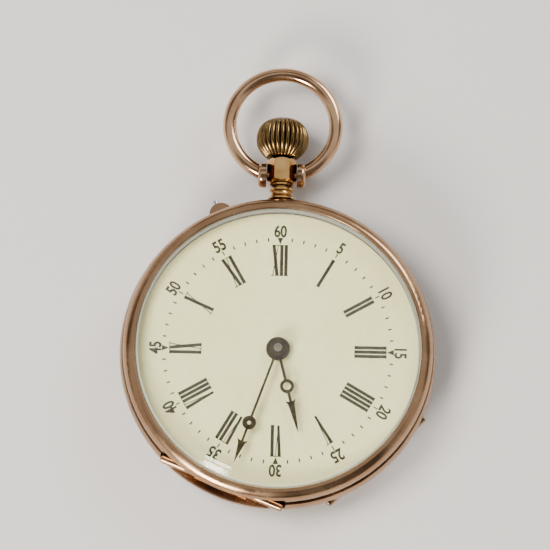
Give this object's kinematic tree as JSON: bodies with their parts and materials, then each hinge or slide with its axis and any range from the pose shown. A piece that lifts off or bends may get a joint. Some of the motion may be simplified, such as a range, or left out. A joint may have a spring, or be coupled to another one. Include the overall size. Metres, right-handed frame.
{
  "type": "fob watch",
  "caption": "Small open-face fob watch with a bow, ribbed crown, Roman enamel dial, domed crystal and hinged covers, with its movement inside.",
  "frame": {"origin": "middle of the flat on the back cover", "axes": "+Z is the dial's normal, +Y points to 12 o'clock and the pendant, +X to 3 o'clock"},
  "size_m": [0.0344, 0.0501, 0.0093],
  "materials": {
    "rolled_gold": "worn rolled gold, rosy, soft gloss",
    "cover_gold": "worn rolled gold, fine scratches",
    "polished_steel": "polished steel",
    "gilt_brass": "matt gilt",
    "wheel_brass": "polished brass",
    "blued_steel": "heat-blued steel",
    "crystal_glass": "clear polished glass",
    "enamel": "ivory vitreous enamel",
    "ruby": "polished synthetic ruby",
    "hand_steel": "brown patinated steel"
  },
  "bodies": {
    "case": {"case_middle": "rolled_gold", "olivette": "rolled_gold", "pendant": "rolled_gold", "pendant_sleeve": "polished_steel", "case_screws": "blued_steel", "bezel_hinge_pin": "polished_steel", "back_hinge_pin": "polished_steel", "dial": "enamel", "main_plate": "gilt_brass", "barrel_bridge": "gilt_brass", "train_bridge": "gilt_brass", "escape_cock": "gilt_brass", "balance_cock": "gilt_brass", "bridge_screws": "blued_steel", "jewels": "ruby", "crown_wheel_core": "polished_steel", "click_screw": "polished_steel", "click_spring": "polished_steel"},
    "bezel": {"bezel": "rolled_gold", "crystal": "crystal_glass"},
    "back_cover": {"back_cover": "cover_gold"},
    "cuvette": {"cuvette": "cover_gold"},
    "bow": {"bow": "rolled_gold"},
    "crown": {"crown": "rolled_gold", "stem": "polished_steel", "winding_pinion": "polished_steel", "sliding_pinion": "polished_steel"},
    "crown_wheel": {"crown_wheel": "polished_steel"},
    "ratchet": {"ratchet_wheel": "polished_steel", "barrel_arbor": "polished_steel", "ratchet_screw": "polished_steel"},
    "minute_hand": {"minute_hand": "hand_steel", "cannon_pinion": "polished_steel"},
    "minute_wheel": {"minute_wheel": "wheel_brass"},
    "hour_hand": {"hour_hand": "hand_steel", "hour_wheel": "wheel_brass"},
    "fourth_wheel": {"fourth_wheel": "wheel_brass"},
    "third_wheel": {"third_wheel": "wheel_brass"},
    "centre_wheel": {"centre_wheel": "wheel_brass"},
    "barrel": {"barrel": "wheel_brass", "barrel_cover": "wheel_brass", "mainspring": "blued_steel"},
    "escape_wheel": {"escape_wheel": "polished_steel"},
    "balance": {"balance_wheel": "wheel_brass", "balance_staff": "polished_steel", "hairspring": "blued_steel"},
    "regulator": {"regulator": "polished_steel"},
    "click": {"click": "polished_steel"},
    "setting_pin": {"setting_pin": "polished_steel"}
  },
  "joints": [
    {"name": "bezel_hinge", "type": "hinge", "parent": "case", "child": "bezel", "pos_m": [-0.00577, -0.01471, 0.0052], "axis": [0.9311, -0.3649, 0], "range_deg": [0, 80]},
    {"name": "back_cover_hinge", "type": "hinge", "parent": "case", "child": "back_cover", "pos_m": [0.01088, -0.01146, 0.0032], "axis": [-0.7254, -0.6884, 0], "range_deg": [0, 80]},
    {"name": "cuvette_hinge", "type": "hinge", "parent": "case", "child": "cuvette", "pos_m": [0.01088, -0.01146, 0.0032], "axis": [-0.7254, -0.6884, 0], "range_deg": [0, 68]},
    {"name": "bow_swing", "type": "hinge", "parent": "case", "child": "bow", "pos_m": [0, 0.0201, 0.0041], "axis": [1, 0, 0], "range_deg": [-90, 90]},
    {"name": "crown_turn", "type": "hinge", "parent": "case", "child": "crown", "pos_m": [0, 0, 0.0041], "axis": [0, 1, 0], "continuous": true},
    {"name": "crown_wheel_turn", "type": "hinge", "parent": "case", "child": "crown_wheel", "pos_m": [0, 0.0103, 0], "axis": [0, 0, 1], "continuous": true},
    {"name": "ratchet_turn", "type": "hinge", "parent": "case", "child": "ratchet", "pos_m": [0.00293, 0.00507, 0], "axis": [0, 0, 1], "continuous": true},
    {"name": "minute_turn", "type": "hinge", "parent": "case", "child": "minute_hand", "pos_m": [0, 0, 0], "axis": [0, 0, -1], "continuous": true},
    {"name": "minute_wheel_turn", "type": "hinge", "parent": "case", "child": "minute_wheel", "pos_m": [0.00083, 0.00309, 0], "axis": [0, 0, -1], "continuous": true},
    {"name": "hour_turn", "type": "hinge", "parent": "case", "child": "hour_hand", "pos_m": [0, 0, 0], "axis": [0, 0, -1], "continuous": true},
    {"name": "fourth_turn", "type": "hinge", "parent": "case", "child": "fourth_wheel", "pos_m": [-0.00121, -0.0063, 0], "axis": [0, 0, -1], "continuous": true},
    {"name": "third_turn", "type": "hinge", "parent": "case", "child": "third_wheel", "pos_m": [0.0019, -0.00408, 0], "axis": [0, 0, -1], "continuous": true},
    {"name": "centre_turn", "type": "hinge", "parent": "case", "child": "centre_wheel", "pos_m": [0, 0, 0], "axis": [0, 0, -1], "continuous": true},
    {"name": "barrel_turn", "type": "hinge", "parent": "case", "child": "barrel", "pos_m": [0.00293, 0.00507, 0], "axis": [0, 0, -1], "continuous": true},
    {"name": "escape_turn", "type": "hinge", "parent": "case", "child": "escape_wheel", "pos_m": [-0.00451, -0.00642, 0], "axis": [0, 0, -1], "continuous": true},
    {"name": "balance_swing", "type": "hinge", "parent": "case", "child": "balance", "pos_m": [-0.006, -0.0046, 0], "axis": [0, 0, 1], "range_deg": [-120, 120], "stiffness_Nm_per_rad": 0.00000012},
    {"name": "regulator_turn", "type": "hinge", "parent": "case", "child": "regulator", "pos_m": [-0.006, -0.0046, 0], "axis": [0, 0, 1], "range_deg": [-20, 20]},
    {"name": "click_rock", "type": "hinge", "parent": "case", "child": "click", "pos_m": [0.0083, 0.0034, 0], "axis": [0, 0, 1], "range_deg": [-8, 0], "stiffness_Nm_per_rad": 0.00001},
    {"name": "setting_push", "type": "slide", "parent": "case", "child": "setting_pin", "axis": [0.3907, -0.9205, 0], "range_m": [0, 0.0006], "stiffness_N_per_m": 2}
  ],
  "couplings": [
    {"joint": "cuvette_hinge", "follows": "back_cover_hinge", "ratio": 0.85},
    {"joint": "crown_wheel_turn", "follows": "crown_turn", "ratio": 0.46154},
    {"joint": "ratchet_turn", "follows": "crown_turn", "ratio": -0.35294},
    {"joint": "minute_wheel_turn", "follows": "minute_turn", "ratio": -0.33333},
    {"joint": "hour_turn", "follows": "minute_turn", "ratio": 0.083333},
    {"joint": "third_turn", "follows": "fourth_turn", "ratio": -0.13333},
    {"joint": "centre_turn", "follows": "fourth_turn", "ratio": 0.016667},
    {"joint": "barrel_turn", "follows": "fourth_turn", "ratio": -0.0020833},
    {"joint": "escape_turn", "follows": "fourth_turn", "ratio": -10}
  ]
}
